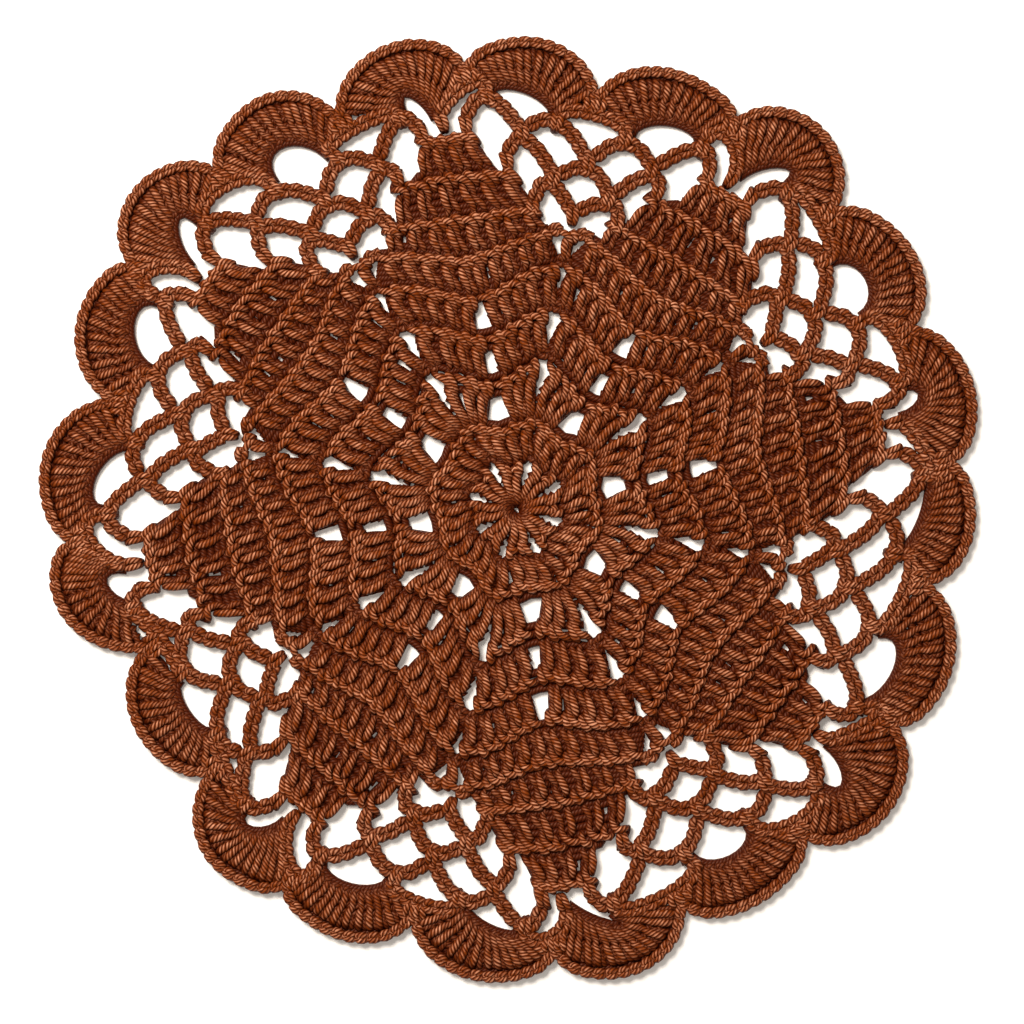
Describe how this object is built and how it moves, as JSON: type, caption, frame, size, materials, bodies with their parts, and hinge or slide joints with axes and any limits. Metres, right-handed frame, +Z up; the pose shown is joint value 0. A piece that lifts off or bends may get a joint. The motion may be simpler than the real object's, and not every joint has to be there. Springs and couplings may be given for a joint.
{
  "type": "lace doily",
  "caption": "Round crocheted cotton doily with a leafy star of solid stitches, open net between its points and a scalloped shell border.",
  "frame": {"origin": "middle of the doily's bounding box, on the surface that it lies on", "axes": "+Z up through the thin side, +X to the right and +Y away from the viewer, as it is seen from above"},
  "size_m": [0.2628, 0.265, 0.0033],
  "materials": {
    "yarn": "mercerised crochet cotton, brown, with a soft gloss"
  },
  "bodies": {
    "root": {"doily": "yarn"}
  },
  "joints": []
}
